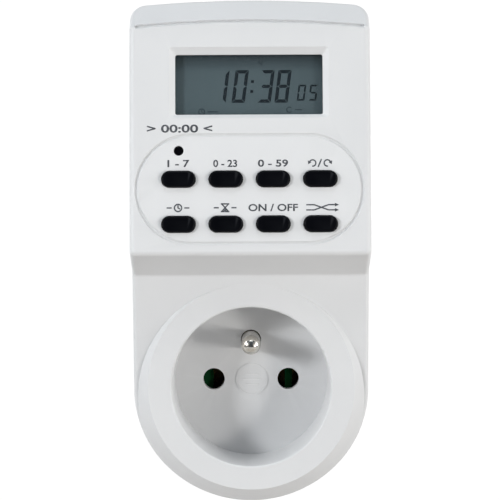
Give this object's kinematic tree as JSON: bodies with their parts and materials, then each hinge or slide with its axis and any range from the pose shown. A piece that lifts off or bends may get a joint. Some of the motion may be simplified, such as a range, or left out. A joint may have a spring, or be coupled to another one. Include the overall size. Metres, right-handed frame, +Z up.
{
  "type": "plug-in digital timer switch",
  "caption": "Plug-in timer switch: wall plug behind, round pinned socket in front, and a slanted head with a liquid crystal display and press keys.",
  "frame": {"origin": "centre of the plug's mating face, midway between its two pins", "axes": "+Y out of the plug face, along the pins into the wall outlet; +Z up, along the body's length; +X right as seen by the user in front"},
  "size_m": [0.0584, 0.0754, 0.1238],
  "materials": {
    "housing_white": "fine spark-eroded moulded ABS, satin",
    "clear_window": "clear polycarbonate, polished",
    "lcd_grey": "reflective liquid crystal glass, grey-green",
    "reflector": "silvered film",
    "black_abs": "black moulded",
    "black_rubber": "conducting elastomer",
    "grey_rubber": "silicone rubber",
    "key_black": "black moulded, softly polished",
    "pcb_green": "solder mask",
    "pcb_brown": "paper phenolic",
    "epoxy_black": "epoxy",
    "tin_steel": "tin plated",
    "nickel_can": "nickel plated",
    "zinc_steel": "zinc plated",
    "film_yellow": "moulded box",
    "can_aluminium": "sleeved can",
    "disc_blue": "dipped epoxy",
    "resistor_blue": "lacquer",
    "ribbon_grey": "PVC ribbon",
    "relay_blue": "moulded cover",
    "copper_coil": "enamelled copper winding",
    "soft_iron": "zinc plated iron",
    "nickel_pin": "nickel plated brass",
    "contact_brass": "spring brass",
    "carrier_grey": "glass filled polyamide",
    "shutter_green": "green polyamide",
    "spring_steel": "drawn wire"
  },
  "bodies": {
    "housing": {"front_housing": "housing_white", "rear_housing": "housing_white", "lcd_window": "clear_window", "lcd_panel": "lcd_grey", "lcd_holder": "black_abs", "lcd_backing": "reflector", "conducting_strip": "black_rubber", "control_board": "pcb_green", "controller_blob": "epoxy_black", "crystal_can": "tin_steel", "backup_cell": "nickel_can", "cell_tabs": "tin_steel", "control_board_screws": "zinc_steel", "key_mat": "grey_rubber", "power_board": "pcb_brown", "power_board_screws": "zinc_steel", "dropper_capacitor": "film_yellow", "smoothing_capacitors": "can_aluminium", "varistor": "disc_blue", "power_resistors": "resistor_blue", "rectifier_diodes": "epoxy_black", "ribbon_cable": "ribbon_grey", "relay_base": "black_abs", "relay_cover": "relay_blue", "relay_coil": "copper_coil", "relay_yoke": "soft_iron", "live_pin": "nickel_pin", "neutral_pin": "nickel_pin", "live_contact": "contact_brass", "neutral_contact": "contact_brass", "live_busbar": "contact_brass", "neutral_busbar": "contact_brass", "switched_busbar": "contact_brass", "contact_carrier": "carrier_grey", "earth_pin": "nickel_pin", "earth_strap": "tin_steel", "earth_clip_top": "nickel_pin", "earth_clip_bottom": "nickel_pin", "earth_receptacle": "contact_brass", "shutter_cover": "carrier_grey", "shutter_spring": "spring_steel", "housing_screws": "zinc_steel"},
    "key_day": {"key_day": "key_black"},
    "key_hour": {"key_hour": "key_black"},
    "key_minute": {"key_minute": "key_black"},
    "key_recall": {"key_recall": "key_black"},
    "key_clock": {"key_clock": "key_black"},
    "key_timer": {"key_timer": "key_black"},
    "key_mode": {"key_mode": "key_black"},
    "key_random": {"key_random": "key_black"},
    "reset_key": {"reset_key": "key_black"},
    "shutter": {"shutter": "shutter_green"},
    "relay_armature": {"relay_armature": "soft_iron"}
  },
  "joints": [
    {"name": "key_day_press", "type": "slide", "parent": "housing", "child": "key_day", "axis": [0, 0.9943, -0.1069], "range_m": [0, 0.0008], "stiffness_N_per_m": 900, "springref_m": -0.0008, "deforming": ["key_mat"]},
    {"name": "key_hour_press", "type": "slide", "parent": "housing", "child": "key_hour", "axis": [0, 0.9943, -0.1069], "range_m": [0, 0.0008], "stiffness_N_per_m": 900, "springref_m": -0.0008, "deforming": ["key_mat"]},
    {"name": "key_minute_press", "type": "slide", "parent": "housing", "child": "key_minute", "axis": [0, 0.9943, -0.1069], "range_m": [0, 0.0008], "stiffness_N_per_m": 900, "springref_m": -0.0008, "deforming": ["key_mat"]},
    {"name": "key_recall_press", "type": "slide", "parent": "housing", "child": "key_recall", "axis": [0, 0.9943, -0.1069], "range_m": [0, 0.0008], "stiffness_N_per_m": 900, "springref_m": -0.0008, "deforming": ["key_mat"]},
    {"name": "key_clock_press", "type": "slide", "parent": "housing", "child": "key_clock", "axis": [0, 0.9943, -0.1069], "range_m": [0, 0.0008], "stiffness_N_per_m": 900, "springref_m": -0.0008, "deforming": ["key_mat"]},
    {"name": "key_timer_press", "type": "slide", "parent": "housing", "child": "key_timer", "axis": [0, 0.9943, -0.1069], "range_m": [0, 0.0008], "stiffness_N_per_m": 900, "springref_m": -0.0008, "deforming": ["key_mat"]},
    {"name": "key_mode_press", "type": "slide", "parent": "housing", "child": "key_mode", "axis": [0, 0.9943, -0.1069], "range_m": [0, 0.0008], "stiffness_N_per_m": 900, "springref_m": -0.0008, "deforming": ["key_mat"]},
    {"name": "key_random_press", "type": "slide", "parent": "housing", "child": "key_random", "axis": [0, 0.9943, -0.1069], "range_m": [0, 0.0008], "stiffness_N_per_m": 900, "springref_m": -0.0008, "deforming": ["key_mat"]},
    {"name": "reset_key_press", "type": "slide", "parent": "housing", "child": "reset_key", "axis": [0, 0.9943, -0.1069], "range_m": [0, 0.0006], "stiffness_N_per_m": 900, "springref_m": -0.0008, "deforming": ["key_mat"]},
    {"name": "shutter_slide", "type": "slide", "parent": "housing", "child": "shutter", "axis": [-1, 0, 0], "range_m": [0, 0.0038], "stiffness_N_per_m": 250, "springref_m": -0.002, "deforming": ["shutter_spring"]},
    {"name": "relay_armature_tilt", "type": "hinge", "parent": "housing", "child": "relay_armature", "pos_m": [-0.00945, -0.03705, 0.0485], "axis": [0, 0, 1], "range_deg": [-2, 0], "stiffness_Nm_per_rad": 0.02, "springref_deg": 2.86}
  ]
}
